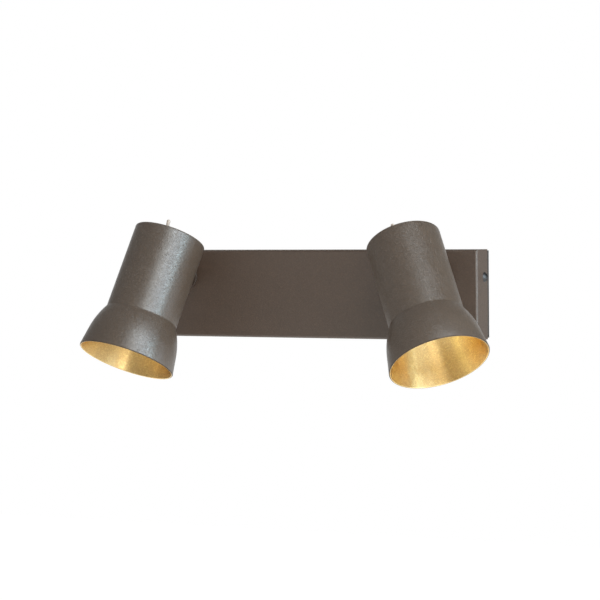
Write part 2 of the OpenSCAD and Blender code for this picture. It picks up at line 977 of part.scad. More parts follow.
// The two screws that fix the lampholder to its strap.
module holder_screws(side) {
    color("silver")
        head_frame(side)
            for (end = [LEFT, RIGHT])
                translate([end * holder_screw_x, 0, holder_z + holder_l - 2.6])
                    screw(2.9, holder_l - 2.6 + strap_t + 1.5, 5.4, 2);
}

// Body of the reflector lamp: narrow foot, finned waist and wide rim.
module lamp_body(side) {
    r = lamp_d / 2;
    fin_count = 12;
    color("white")
        head_frame(side)
            translate([0, 0, lamp_z])
                difference() {
                    rotate_extrude()
                        polygon([
                            [0, 0],
                            [r * 0.44, 0],
                            [r * 0.5, lamp_l * 0.04],
                            [r * 0.52, lamp_l * 0.18],
                            [r * 0.64, lamp_l * 0.32],
                            [r * 0.84, lamp_l * 0.6],
                            [r * 0.96, lamp_l * 0.82],
                            [r, lamp_l * 0.88],
                            [r, lamp_l - 0.6],
                            [r - 0.6, lamp_l],
                            [r - lamp_rim_w, lamp_l],
                            [r - lamp_rim_w, lamp_l - lamp_rim_d],
                            [0, lamp_l - lamp_rim_d]
                        ]);
                    for (k = [0:fin_count - 1])
                        rotate(360 * (k + 0.5) / fin_count)
                            translate([r * 0.78, -0.8, lamp_l * 0.45])
                                cube([r, 1.6, lamp_l * 0.36]);
                }
}

// Domed front lens of the lamp.
module lamp_lens(side) {
    r = lamp_d / 2 - lamp_rim_w - 2 * fit;
    sphere_r = (r * r + lens_dome * lens_dome) / (2 * lens_dome);
    color("lightyellow")
        head_frame(side)
            translate([0, 0, lamp_front - lamp_rim_d])
                intersection() {
                    cylinder(r = r, h = lamp_rim_d);
                    translate([0, 0, lamp_rim_d - sphere_r])
                        sphere(r = sphere_r, $fn = lens_facets);
                }
}

// The two stepped contact pins of the lamp.
module lamp_pins(side) {
    color("gold")
        head_frame(side)
            for (end = [LEFT, RIGHT])
                translate([end * pin_spacing / 2, 0, lamp_z - pin_l]) {
                    cylinder(d = pin_head_d, h = 2);
                    cylinder(d = pin_neck_d, h = pin_l);
                }
}

// Toggle switch: moulded box, threaded bushing and two solder lugs.
module switch_body(side) {
    color("black")
        switch_frame(side)
            difference() {
                union() {
                    translate([-switch_w / 2, -switch_d / 2, -shell_t - switch_h])
                        cube([switch_w, switch_d, switch_h]);
                    translate([0, 0, -shell_t - 1])
                        cylinder(d = bushing_d, h = shell_t + 1 + bushing_h);
                    for (end = [LEFT, RIGHT])
                        translate([end * lug_spacing - lug_t / 2, -lug_w / 2, -shell_t - switch_h - lug_l])
                            cube([lug_t, lug_w, lug_l + 1]);
                }
                translate([0, 0, -bushing_bore / 2])
                    cylinder(d = bushing_bore, h = 2 * bushing_bore);
            }
}

// Hexagon nut that clamps the switch to the rear face.
module switch_nut(side) {
    color("silver")
        switch_frame(side)
            hex_nut(switch_nut_af, bushing_d + 2 * fit, switch_nut_t);
}

// Ivory lever, a long cone on a ball with a round tip.
module switch_lever(side) {
    tip_r = lever_tip_d / 2;
    reach = lever_h / cos(lever_lean) - tip_r;
    color("ivory")
        switch_frame(side)
            rotate([lever_lean, 0, 0]) {
                sphere(r = bushing_bore / 2 - 0.3);
                cylinder(r1 = lever_root_d / 2, r2 = tip_r, h = reach);
                translate([0, 0, reach])
                    sphere(r = tip_r);
            }
}

// Leads inside a head: two from the stub, and one from the switch to the lampholder.
module head_leads(side) {
    stub_y = -(axis_reach - stub_end);
    side_x = holder_w / 2;
    lug_z = shell_t + switch_h + lug_l / 2;
    lug_y = switch_front + lug_w / 2 + lead_d / 2;
    mid_z = holder_z + holder_l / 2;
    color("saddlebrown")
        head_frame(side) {
            lead([
                [1.2, stub_y - 5, rear_rise],
                [1.2, stub_y + 1, rear_rise],
                [5, stub_y + 5, rear_rise - 0.5],
                [side_x + 1, -12, mid_z + 3],
                [side_x + 3.5, -6, mid_z],
                [side_x + 3, 2, lug_z + 1],
                [side_x - 1, 11, lug_z],
                [switch_side + lug_spacing + 3, lug_y, lug_z],
                [switch_side + lug_spacing - 0.6, lug_y, lug_z]
            ]);
            lead([
                [-1.2, stub_y - 5, rear_rise],
                [-1.2, stub_y + 1, rear_rise],
                [-5, stub_y + 5, rear_rise - 0.5],
                [-side_x - 1, -12, mid_z + 3],
                [-side_x - 3.5, -6, mid_z],
                [-side_x - 1.5, -port_y, mid_z],
                [-side_x + port_depth - 0.5, -port_y, mid_z]
            ]);
            lead([
                [switch_side - lug_spacing + 0.6, lug_y, lug_z],
                [switch_side - lug_spacing - 3, lug_y, lug_z],
                [-side_x + 1, 12, lug_z + 1],
                [-side_x - 2.5, 7, mid_z],
                [-side_x - 1.5, port_y, mid_z],
                [-side_x + port_depth - 0.5, port_y, mid_z]
            ]);
        }
}

/* [Hidden] */

wall_bracket();
housing_cover();
cover_screws();
cable_grommet();
terminal_block();
terminal_screws();
terminal_mount_screws();
earth_stud();
earth_lead();
rose_washers();
friction_washers();
stop_studs();
inner_leads(LEFT);  // inner_leads_left
swivel_fork(LEFT);  // swivel_fork_left
stop_washer(LEFT);  // stop_washer_left
spring_washer(LEFT);  // spring_washer_left
swivel_nut(LEFT);  // swivel_nut_left
knuckle_screws(LEFT);  // knuckle_screws_left
head_knuckle(LEFT);  // head_knuckle_left
saddle_washer(LEFT);  // saddle_washer_left
knuckle_nut(LEFT);  // knuckle_nut_left
head_shell(LEFT);  // head_shell_left
holder_strap(LEFT);  // holder_strap_left
lampholder(LEFT);  // lampholder_left
holder_screws(LEFT);  // holder_screws_left
lamp_body(LEFT);  // lamp_body_left
lamp_lens(LEFT);  // lamp_lens_left
lamp_pins(LEFT);  // lamp_pins_left
switch_body(LEFT);  // switch_body_left
switch_nut(LEFT);  // switch_nut_left
switch_lever(LEFT);  // switch_lever_left
head_leads(LEFT);  // head_leads_left
inner_leads(RIGHT);  // inner_leads_right
swivel_fork(RIGHT);  // swivel_fork_right
stop_washer(RIGHT);  // stop_washer_right
spring_washer(RIGHT);  // spring_washer_right
swivel_nut(RIGHT);  // swivel_nut_right
knuckle_screws(RIGHT);  // knuckle_screws_right
head_knuckle(RIGHT);  // head_knuckle_right
saddle_washer(RIGHT);  // saddle_washer_right
knuckle_nut(RIGHT);  // knuckle_nut_right
head_shell(RIGHT);  // head_shell_right
holder_strap(RIGHT);  // holder_strap_right
lampholder(RIGHT);  // lampholder_right
holder_screws(RIGHT);  // holder_screws_right
lamp_body(RIGHT);  // lamp_body_right
lamp_lens(RIGHT);  // lamp_lens_right
lamp_pins(RIGHT);  // lamp_pins_right
switch_body(RIGHT);  // switch_body_right
switch_nut(RIGHT);  // switch_nut_right
switch_lever(RIGHT);  // switch_lever_right
head_leads(RIGHT);  // head_leads_right
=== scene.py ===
"""Double reading wall lamp: a folded housing on the wall with two flared spot heads.

The scene is in metres in the frame of the CAD model. X runs to the right along the
housing, Z is up and Y goes into the wall. The middle of the bracket's back is the origin.
Shapes are written in millimetres, and the sizes of materials and lamps in metres.
"""

import bpy
import numpy as np
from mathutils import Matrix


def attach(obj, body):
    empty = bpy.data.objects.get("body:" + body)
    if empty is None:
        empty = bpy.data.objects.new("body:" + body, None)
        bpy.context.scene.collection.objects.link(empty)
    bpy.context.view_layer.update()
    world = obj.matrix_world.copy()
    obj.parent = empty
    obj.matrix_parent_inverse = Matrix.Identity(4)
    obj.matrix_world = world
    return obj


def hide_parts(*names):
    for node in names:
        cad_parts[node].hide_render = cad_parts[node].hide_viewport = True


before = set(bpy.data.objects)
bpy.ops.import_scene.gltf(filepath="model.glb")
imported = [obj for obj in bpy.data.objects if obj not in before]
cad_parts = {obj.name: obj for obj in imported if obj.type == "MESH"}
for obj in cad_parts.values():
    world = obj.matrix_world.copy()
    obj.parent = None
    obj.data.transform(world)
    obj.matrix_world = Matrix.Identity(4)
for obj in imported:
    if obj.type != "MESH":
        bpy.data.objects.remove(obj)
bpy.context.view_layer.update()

# Camera of the photograph: about 1.8 m away, 25 degrees to the right of the middle and a
# little above it, with a long lens. Its place was fitted to the edges of the housing and
# of the two heads. Angles are in radians and lengths in millimetres.
MM = 0.001
lens_px = 2247.29
image_px = 600
sensor_mm = 36
azimuth, elevation, roll = 0.43530, 0.03955, -0.00995
distance, target_x, target_z = 1813.87, -12.55, -5.88
fit_to_model_x = -9.0
sight_m = 20


def camera_axes(azimuth, elevation, roll):
    """Right, up and back of a camera that looks at the origin, turned by roll."""
    back = np.array([
        np.sin(azimuth) * np.cos(elevation),
        -np.cos(azimuth) * np.cos(elevation),
        np.sin(elevation),
    ])
    right = np.array([np.cos(azimuth), np.sin(azimuth), 0.0])
    up = np.cross(back, right)
    return (
        np.cos(roll) * right + np.sin(roll) * up,
        np.cos(roll) * up - np.sin(roll) * right,
        back,
    )


right, up, back = camera_axes(azimuth, elevation, roll)
camera = bpy.data.objects.new("photo_camera", bpy.data.cameras.new("photo_camera"))
bpy.context.scene.collection.objects.link(camera)
bpy.context.scene.camera = camera
camera.data.sensor_width = sensor_mm
camera.data.lens = sensor_mm * lens_px / image_px
place = np.eye(4)
place[:3, :3] = np.stack([right, up, back], axis=1)
place[:3, 3] = MM * (distance * back + target_x * right + target_z * up)
place[0, 3] += MM * fit_to_model_x
camera.matrix_world = place.T.tolist()
camera.data.clip_end = sight_m


# Housing cover: one folded sheet of steel, 1 mm thick, with a matt dark bronze powder
# coat that rounds its edges. It slides over the end tabs of the bracket and is held by
# one screw at each end.
cover_edge = 0.25 * MM


def new_material(name):
    """An empty material with a Principled shader, and its tree and shader."""
    material = bpy.data.materials.new(name)
    material.use_nodes = True
    tree = material.node_tree
    return material, tree, tree.nodes["Principled BSDF"]


def cells(tree, size):
    """Random grey for each cell of a pattern whose cells measure about size in metres."""
    place = tree.nodes.new("ShaderNodeTexCoord")
    pattern = tree.nodes.new("ShaderNodeTexVoronoi")
    pattern.inputs["Scale"].default_value = 1 / size
    tree.links.new(place.outputs["Object"], pattern.inputs["Vector"])
    grey = tree.nodes.new("ShaderNodeSeparateColor")
    tree.links.new(pattern.outputs["Color"], grey.inputs[0])
    return grey.outputs["Red"]


def clouds(tree, size, detail=2.0):
    """Soft noise with features of about size in metres."""
    place = tree.nodes.new("ShaderNodeTexCoord")
    scale = tree.nodes.new("ShaderNodeMapping")
    scale.inputs["Scale"].default_value = (1 / size,) * 3
    pattern = tree.nodes.new("ShaderNodeTexNoise")
    pattern.inputs["Scale"].default_value = 1
    pattern.inputs["Detail"].default_value = detail
    tree.links.new(place.outputs["Object"], scale.inputs["Vector"])
    tree.links.new(scale.outputs["Vector"], pattern.inputs["Vector"])
    return pattern.outputs["Fac"]


def ramp(tree, source, stops):
    """Colour ramp over a grey source; stops are (place, colour)."""
    node = tree.nodes.new("ShaderNodeValToRGB")
    while len(node.color_ramp.elements) < len(stops):
        node.color_ramp.elements.new(0.5)
    for element, (at, colour) in zip(node.color_ramp.elements, stops):
        element.position = at
        element.color = (*colour, 1)
    tree.links.new(source, node.inputs["Fac"])
    return node.outputs["Color"]


def blended(tree, kind, amount, first, second):
    """Mixes two colours in the given way by a fixed amount."""
    node = tree.nodes.new("ShaderNodeMix")
    node.data_type = "RGBA"
    node.blend_type = kind
    node.inputs["Factor"].default_value = amount
    tree.links.new(first, node.inputs["A"])
    tree.links.new(second, node.inputs["B"])
    return node.outputs["Result"]


def bump(tree, shader, heights):
    """Adds bumps to a shader: each height is (source, depth in metres, strength)."""
    normal = None
    for source, depth, strength in heights:
        node = tree.nodes.new("ShaderNodeBump")
        node.inputs["Distance"].default_value = depth
        node.inputs["Strength"].default_value = strength
        tree.links.new(source, node.inputs["Height"])
        if normal is not None:
            tree.links.new(normal, node.inputs["Normal"])
        normal = node.outputs["Normal"]
    tree.links.new(normal, shader.inputs["Normal"])


def tinted(colour, factor):
    """A colour made lighter or darker."""
    return tuple(min(1.0, c * factor) for c in colour)


def metallic_paint(
    name, colour, metal, rough, flake, contrast, ior=1.5, tint=(1, 1, 1), grain=0.5,
):
    """Paint with metal flakes: grains of light and dark over soft clouds, slightly rough.

    The flake is the size of a grain in metres, contrast is how far its colour strays, and
    grain is how strongly it stands out of the surface."""
    drift_size, drift_shade = 0.012, 0.95
    rough_size, rough_spread = 1.7 * flake, 0.07
    wave_size, wave_depth, wave_strength = 2.2 * flake, 0.00006, 0.35
    grain_depth = 0.25 * flake
    material, tree, shader = new_material(name)
    shader.inputs["Metallic"].default_value = metal
    shader.inputs["IOR"].default_value = ior
    shader.inputs["Specular Tint"].default_value = (*tint, 1)
    grains = ramp(tree, cells(tree, flake), [
        (0.0, tinted(colour, 1 - contrast)),
        (0.75, tinted(colour, 1 + 0.1 * contrast)),
        (1.0, tinted(colour, 1 + 1.8 * contrast)),
    ])
    drift = ramp(tree, clouds(tree, drift_size), [(0.3, (drift_shade,) * 3), (0.7, (1, 1, 1))])
    colour_out = blended(tree, "MULTIPLY", 1.0, grains, drift)
    tree.links.new(colour_out, shader.inputs["Base Color"])
    roughness = ramp(tree, cells(tree, rough_size), [
        (0, (rough - rough_spread,) * 3),
        (1, (rough + rough_spread,) * 3),
    ])
    tree.links.new(roughness, shader.inputs["Roughness"])
    bump(tree, shader, [
        (clouds(tree, wave_size, 3), wave_depth, wave_strength),
        (cells(tree, flake), grain_depth, grain),
    ])
    return material


def wear(material, *nodes):
    """Gives CAD nodes a material."""
    for name in nodes:
        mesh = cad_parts[name].data
        mesh.materials.clear()
        mesh.materials.append(material)


def soften(width, *nodes):
    """Rounds the sharp edges of CAD nodes by a width in metres, as paint or tumbling does."""
    sharpest_kept = np.radians(35)
    for name in nodes:
        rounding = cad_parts[name].modifiers.new("rounding", "BEVEL")
        rounding.width = width
        rounding.segments = 2
        rounding.limit_method = "ANGLE"
        rounding.angle_limit = sharpest_kept


cover_paint = metallic_paint(
    "cover_paint", (0.088, 0.048, 0.027), metal=0.0, rough=0.52, flake=0.0006, contrast=0.15,
    ior=2.0, tint=(0.90, 0.97, 0.95), grain=0.25,
)
wear(cover_paint, "housing_cover")
soften(cover_edge, "housing_cover")

# Wall bracket: folded steel pan behind the cover, painted dark grey. Two screws through
# its slots hold it to the wall, and only its edge shows.
bracket_paint = metallic_paint(
    "bracket_paint", (0.05, 0.047, 0.043), metal=0.1, rough=0.55, flake=0.0008, contrast=0.15,
)
wear(bracket_paint, "wall_bracket")


# Cover screws and the shoulder screws of the knuckles: turned steel, dull nickel on the
# cover and blackened in the knuckles. The cover screws clamp the cover to the bracket,
# and the shoulder screws are the tilt axes.
screw_edge = 0.2 * MM


def plated(name, colour, rough):
    """Turned or plated metal with fine tool marks and light stains."""
    stain_size, stain_dark, stain_light = 0.004, 0.86, 1.06
    mark_size, mark_depth, mark_strength = 0.0004, 0.00002, 0.3
    material, tree, shader = new_material(name)
    shader.inputs["Metallic"].default_value = 1.0
    shade = ramp(tree, clouds(tree, stain_size, 4), [
        (0.3, tinted(colour, stain_dark)),
        (0.7, tinted(colour, stain_light)),
    ])
    tree.links.new(shade, shader.inputs["Base Color"])
    marks = clouds(tree, mark_size, 3)
    roughness = ramp(tree, marks, [(0.25, (rough * 0.75,) * 3), (0.75, (rough * 1.3,) * 3)])
    tree.links.new(roughness, shader.inputs["Roughness"])
    bump(tree, shader, [(marks, mark_depth, mark_strength)])
    return material


black_steel = plated("black_steel", (0.035, 0.034, 0.034), 0.34)
wear(black_steel, "knuckle_screws_left", "knuckle_screws_right")
wear(plated("dull_nickel", (0.10, 0.10, 0.10), 0.42), "cover_screws")
soften(screw_edge, "cover_screws", "knuckle_screws_left", "knuckle_screws_right")

# Studs, washers, nuts, straps and small screws inside: pressed or turned steel with
# bright zinc plate. The studs are welded into the cover, the rest is screwed together.
nut_edge = 0.15 * MM
zinc = plated("bright_zinc", (0.62, 0.63, 0.64), 0.3)
wear(zinc, "stop_studs", "terminal_mount_screws")
for side in ("left", "right"):
    wear(
        zinc,
        f"stop_washer_{side}", f"spring_washer_{side}", f"swivel_nut_{side}",
        f"saddle_washer_{side}", f"knuckle_nut_{side}", f"holder_strap_{side}",
        f"holder_screws_{side}", f"switch_nut_{side}",
    )
    soften(nut_edge, f"switch_nut_{side}", f"knuckle_nut_{side}", f"swivel_nut_{side}")

# Earth stud, clamping screws and the pins of the lamps: bare turned brass. The stud is
# riveted into the bracket, and the pins stand in the foot of each lamp.
brass = plated("bare_brass", (0.72, 0.52, 0.24), 0.28)
wear(brass, "earth_stud", "terminal_screws", "lamp_pins_left", "lamp_pins_right")


# Moulded and pressed pieces: nylon rose washers and switch bodies, rubber grommet, fibre
# friction washers, polyamide terminal block, steatite lampholders and the lamp bodies.
# The grommet snaps into the bracket, and the lamps push into their holders.
def moulded(name, colour, rough, size=0.0005, depth=0.00003, speck=0.06, coat=0.0):
    """Moulded or pressed material with a fine grain in its surface; lengths in metres."""
    material, tree, shader = new_material(name)
    shade = ramp(tree, clouds(tree, size * 6, 3), [
        (0.3, tinted(colour, 1 - speck)),
        (0.7, tinted(colour, 1 + speck)),
    ])
    tree.links.new(shade, shader.inputs["Base Color"])
    shader.inputs["Roughness"].default_value = rough
    shader.inputs["Coat Weight"].default_value = coat
    bump(tree, shader, [(clouds(tree, size, 2), depth, 0.4)])
    return material


black_nylon = moulded("black_nylon", (0.022, 0.022, 0.023), 0.5)
wear(black_nylon, "rose_washers", "switch_body_left", "switch_body_right")
wear(moulded("soft_rubber", (0.018, 0.018, 0.018), 0.75), "cable_grommet")
wear(moulded("red_fibre", (0.26, 0.05, 0.03), 0.7, speck=0.15), "friction_washers")
wear(moulded("terminal_polyamide", (0.78, 0.74, 0.62), 0.45), "terminal_block")
wear(moulded("steatite", (0.8, 0.77, 0.7), 0.6), "lampholder_left", "lampholder_right")
lamp_plastic = moulded("lamp_plastic", (0.78, 0.78, 0.75), 0.3, coat=0.3)
wear(lamp_plastic, "lamp_body_left", "lamp_body_right")

# Swivel forks and head knuckles: turned and milled from steel bar, hollow for the leads,
# and sprayed in the paint of the heads. Here that paint is darker and matt, which is
# painted shade. The fork turns in the cover, and the knuckle tilts in the fork.
joint_edge = 0.3 * MM
painted_shade_head_paint = metallic_paint(
    "painted_shade_head_paint", (0.070, 0.045, 0.030), metal=0.0, rough=0.6, flake=0.0006, contrast=0.15,
    ior=1.6, tint=(0.93, 0.97, 0.96),
)
for side in ("left", "right"):
    wear(painted_shade_head_paint, f"swivel_fork_{side}", f"head_knuckle_{side}")
    soften(joint_edge, f"swivel_fork_{side}", f"head_knuckle_{side}")

# Spun shells: 1.2 mm aluminium with a closed rear, a straight barrel, a shoulder and a
# flared mouth, spun over a form. They are sprayed with bronze metallic paint outside and
# gold inside, and the lip is left matt; its darker colour is painted shade. Each is
# screwed to its knuckle.
barrel_r, barrel_l, head_l, wall = 28.8, 69.8, 107.0, 1.2
rear_edge_r, shoulder_r, flare_r = 1.0, 3.0, 64.0
shoulder_angle, mouth_angle = np.radians(28.6), np.radians(8.7)
pan_deg = {"left": 10.0, "right": -26.7}
tilt_deg = {"left": 24.3, "right": 21.8}
joint_x, front_y, joint_z = 110.5, -29.5, 13.5
knuckle_reach, axis_reach, rear_rise = 12.0, 38.0, 19.5
joint_sign = {"left": -1, "right": 1}
shell_turns, curve_steps, lip_steps, edge_steps = 192, (12, 32), 9, 7
rear_rings, bore_rings = (10, 20, 27), (20, 10)
barrel_rows, bore_rows = np.linspace(6, barrel_l - 4, 14), np.linspace(barrel_l - 4, 8, 12)


def arc(centre, radius, start, end, steps):
    """Points of a circular arc between two angles, measured from the radial direction."""
    angle = np.linspace(start, end, steps)
    return np.stack([centre[0] + radius * np.cos(angle), centre[1] + radius * np.sin(angle)], 1)


def flare(inset):
    """Barrel end, small inner curve, long curve and straight end, set in by a distance."""
    hollow, long_r = shoulder_r + inset, flare_r - inset
    centre = np.array([
        barrel_r + shoulder_r - (shoulder_r + flare_r) * np.cos(shoulder_angle),
        barrel_l + (shoulder_r + flare_r) * np.sin(shoulder_angle),
    ])
    inner = arc((barrel_r + shoulder_r, barrel_l), -hollow, 0, -shoulder_angle, curve_steps[0])
    outer = arc(centre, long_r, -shoulder_angle, -mouth_angle, curve_steps[1])[1:]
    end_r = outer[-1, 0] + (head_l - wall / 2 - outer[-1, 1]) * np.tan(mouth_angle)
    return np.vstack([inner, outer, [[end_r, head_l - wall / 2]]])


def skin(levels, count):
    """Faces of a stack of rings with one point beyond each end, as arrays of point numbers.

    Neighbours on two rings make a quad, and a fan closes each end. The numbers run ring by
    ring, and the two end points come last."""
    row = np.arange(count)
    step = (row + 1) % count
    level = (np.arange(levels - 1) * count)[:, None]
    quads = np.stack([level + row, level + step, level + count + step, level + count + row], -1)
    last, end = (levels - 1) * count, levels * count
    first_fan = np.stack([np.full(count, end), step, row], -1)
    last_fan = np.stack([np.full(count, end + 1), last + row, last + step], -1)
    return [quads.reshape(-1, 4), first_fan, last_fan]


def turned(profile, count):
    """Solid of revolution. The profile's (radius, height) points, which start and end on
    the axis, are carried round Z in equal steps; each end is one point."""
    radius, height = profile[1:-1].T
    turn = np.linspace(0, 2 * np.pi, count, endpoint=False)
    rings = np.stack([
        np.outer(radius, np.cos(turn)),
        np.outer(radius, np.sin(turn)),
        np.repeat(height[:, None], count, 1),
    ], axis=-1).reshape(-1, 3)
    points = np.vstack([rings, [[0, 0, profile[0, 1]], [0, 0, profile[-1, 1]]]])
    return points, skin(len(radius), count)


def new_piece(name, points, faces, material, body, slot, *stands_for):
    """Makes a smooth mesh piece that rides on a body and takes the place of CAD nodes."""
    mesh = bpy.data.meshes.new(name)
    corners = [face for grid in faces for face in grid.tolist()]
    mesh.from_pydata((points * MM).tolist(), [], corners)
    mesh.polygons.foreach_set("use_smooth", np.ones(len(mesh.polygons), bool))
    mesh.update()
    piece = bpy.data.objects.new(name, mesh)
    bpy.context.scene.collection.objects.link(piece)
    mesh.materials.append(material)
    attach(piece, body)
    if stands_for:
        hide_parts(*stands_for)
    return piece


def turn_x(angle):
    """Rotation about X."""
    cosine, sine = np.cos(angle), np.sin(angle)
    return np.array([[1, 0, 0], [0, cosine, -sine], [0, sine, cosine]])


def turn_y(angle):
    """Rotation about Y."""
    cosine, sine = np.cos(angle), np.sin(angle)
    return np.array([[cosine, 0, sine], [0, 1, 0], [-sine, 0, cosine]])


def in_head(side, points):
    """Points of a head at rest. They are given in the head's own frame, Z from its rear to
    its mouth and Y to its front, then hung from the tilt axis, tilted and panned."""
    turn = turn_y(np.radians(pan_deg[side])) @ turn_x(-np.radians(tilt_deg[side]))
    pivot = np.array([joint_sign[side] * joint_x, front_y - knuckle_reach, joint_z])
    local = np.stack([points[:, 0], -axis_reach - points[:, 1], rear_rise - points[:, 2]], 1)
    return pivot + local @ turn.T


def map_round(mesh, profile, count):
    """UV map of a turned piece: u is the length along its profile, v the share of a turn."""
    length = np.concatenate([[0], np.cumsum(np.linalg.norm(np.diff(profile, axis=0), axis=1))])
    u = length / length[-1]
    row = np.arange(count)
    inner_u = u[1:-1]
    quads = np.stack([
        np.stack(np.broadcast_arrays(inner_u[:-1, None], row / count), -1),
        np.stack(np.broadcast_arrays(inner_u[:-1, None], (row + 1) / count), -1),
        np.stack(np.broadcast_arrays(inner_u[1:, None], (row + 1) / count), -1),
        np.stack(np.broadcast_arrays(inner_u[1:, None], row / count), -1),
    ], 2).reshape(-1, 2)
    middle = (row + 0.5) / count
    first_fan = np.stack([
        np.stack([0 * middle, middle], 1),
        np.stack([0 * middle + u[1], (row + 1) / count], 1),
        np.stack([0 * middle + u[1], row / count], 1),
    ], 1).reshape(-1, 2)
    last_fan = np.stack([
        np.stack([0 * middle + 1, middle], 1),
        np.stack([0 * middle + u[-2], row / count], 1),
        np.stack([0 * middle + u[-2], (row + 1) / count], 1),
    ], 1).reshape(-1, 2)
    layer = mesh.uv_layers.new(name="round")
    layer.data.foreach_set("uv", np.vstack([quads, first_fan, last_fan]).ravel())


outside = flare(0)
inside = flare(wall)
lip_centre = (outside[-1] + inside[-1]) / 2
lip_start = np.arctan2(*(outside[-1] - lip_centre)[::-1])
lip_r = np.linalg.norm(outside[-1] - lip_centre)
lip = arc(lip_centre, lip_r, lip_start, lip_start + np.pi, lip_steps)[1:-1]
bore_r, inner_chamfer = barrel_r - wall, 0.5
outer_profile = np.vstack([
    [[0, 0]],
    [[ring, 0] for ring in rear_rings],
    arc((barrel_r - rear_edge_r, rear_edge_r), rear_edge_r, -np.pi / 2, 0, edge_steps),
    [[barrel_r, row] for row in barrel_rows],
    outside,
    lip,
])
inner_profile = np.vstack([
    inside[::-1],
    [[bore_r, row] for row in bore_rows],
    [[bore_r, wall + inner_chamfer], [bore_r - inner_chamfer, wall]],
    [[ring, wall] for ring in bore_rings],
    [[0, wall]],
])
shell_profile = np.vstack([outer_profile, inner_profile])
shell_points, shell_faces = turned(shell_profile, shell_turns)
# The faces run along the profile ring by ring, then the fan of the rear and that of its
# inside, so a finish starts and ends at a count of rings
first_lip = (len(outer_profile) - 2 - len(lip)) * shell_turns
first_gold = (len(outer_profile) - 2 - len(lip) // 2) * shell_turns
rear_fan = len(shell_faces[0])
inner_fan = rear_fan + shell_turns
bronze_side, gold_side, painted_shade_lip = 0, 1, 2
finish_index = np.full(inner_fan + shell_turns, bronze_side)
# The lip takes the darker copy of the head paint: painted shade.
finish_index[first_lip:first_gold] = painted_shade_lip
finish_index[first_gold:rear_fan] = gold_side
finish_index[inner_fan:] = gold_side
head_paint = metallic_paint(
    "head_paint", (0.100, 0.063, 0.036), metal=0.0, rough=0.40, flake=0.0010, contrast=0.12,
    ior=2.3, tint=(0.93, 0.97, 0.96), grain=1.0,
)
gold_paint = metallic_paint(
    "gold_paint", (0.89, 0.67, 0.32), metal=1.0, rough=0.35, flake=0.0007, contrast=0.12,
    grain=0.15,
)
# The lathe left fine rings under the gold, so its gloss fans out along the head
groove_share = 0.85
gold_tree = gold_paint.node_tree
gold_shader = gold_tree.nodes["Principled BSDF"]
gold_shader.inputs["Anisotropic"].default_value = groove_share
grooves = gold_tree.nodes.new("ShaderNodeTangent")
grooves.direction_type = "UV_MAP"
grooves.uv_map = "round"
gold_tree.links.new(grooves.outputs[0], gold_shader.inputs["Tangent"])
for side in ("left", "right"):
    shell = new_piece(
        f"spun_shell_{side}", in_head(side, shell_points), shell_faces, head_paint,
        f"head_{side}", "head_paint", f"head_shell_{side}",
    )
    map_round(shell.data, shell_profile, shell_turns)
    for finish in (gold_paint, painted_shade_head_paint):
        shell.data.materials.append(finish)
    shell.data.polygons.foreach_set("material_index", finish_index)
    shell.data.update()

# Lamp lenses: pressed frosted glass, slightly domed, with a honeycomb of small pillows on
# the front that spreads the beam. Each is glued into the rim of its lamp body.
lens_r, lens_back, lens_edge, lens_top = 22.5, 68.3, 70.3, 71.3
pillow_size, pillow_depth = 2.6, 0.32
lens_bevel, dome_inset, pillow_inset, pillow_fade = 0.3, 0.2, 0.8, 1.0
lens_turns, dome_rings = 180, 46
tone_size, frost_size, frost_depth, frost_strength = 0.006, 0.0004, 0.00003, 0.5


def honeycomb(x, y, size):
    """Three cosine waves at 60 degrees, added: peaks lie on a triangular grid of this size."""
    wave = 4 * np.pi / (np.sqrt(3) * size)
    angles = np.radians([90, 210, 330])
    return sum(np.cos(wave * (x * np.cos(a) + y * np.sin(a))) for a in angles) / 3


dome_share = np.linspace(1, 0, dome_rings)[:, None]
lens_profile = np.vstack([
    [[0, lens_back], [lens_r - lens_bevel, lens_back]],
    [[lens_r, lens_back + lens_bevel], [lens_r, lens_edge - lens_bevel]],
    np.hstack([
        (lens_r - dome_inset) * dome_share,
        lens_edge + (lens_top - lens_edge) * (1 - dome_share ** 2),
    ]),
])
lens_points, lens_faces = turned(lens_profile, lens_turns)
on_front = lens_points[:, 2] >= lens_edge
lens_radius = np.hypot(lens_points[:, 0], lens_points[:, 1])
fade = np.clip((lens_r - pillow_inset - lens_radius) / pillow_fade, 0, 1)
pillows = 0.5 - 0.5 * honeycomb(lens_points[:, 0], lens_points[:, 1], pillow_size)
lens_points[:, 2] -= np.where(on_front, fade * pillow_depth * pillows, 0)
lens_glass, lens_tree, lens_shader = new_material("lens_glass")
frost = clouds(lens_tree, frost_size, 3)
lens_shade = ramp(lens_tree, clouds(lens_tree, tone_size, 2), [
    (0.3, (0.80, 0.80, 0.77)),
    (0.7, (0.88, 0.88, 0.85)),
])
lens_tree.links.new(lens_shade, lens_shader.inputs["Base Color"])
lens_rough = ramp(lens_tree, frost, [(0.3, (0.22,) * 3), (0.7, (0.34,) * 3)])
lens_tree.links.new(lens_rough, lens_shader.inputs["Roughness"])
lens_shader.inputs["Transmission Weight"].default_value = 0.35
lens_shader.inputs["Coat Weight"].default_value = 0.3
bump(lens_tree, lens_shader, [(frost, frost_depth, frost_strength)])
for side in ("left", "right"):
    new_piece(
        f"pressed_lens_{side}", in_head(side, lens_points), lens_faces, lens_glass,
        f"head_{side}", "lamp_glass", f"lamp_lens_{side}",
    )

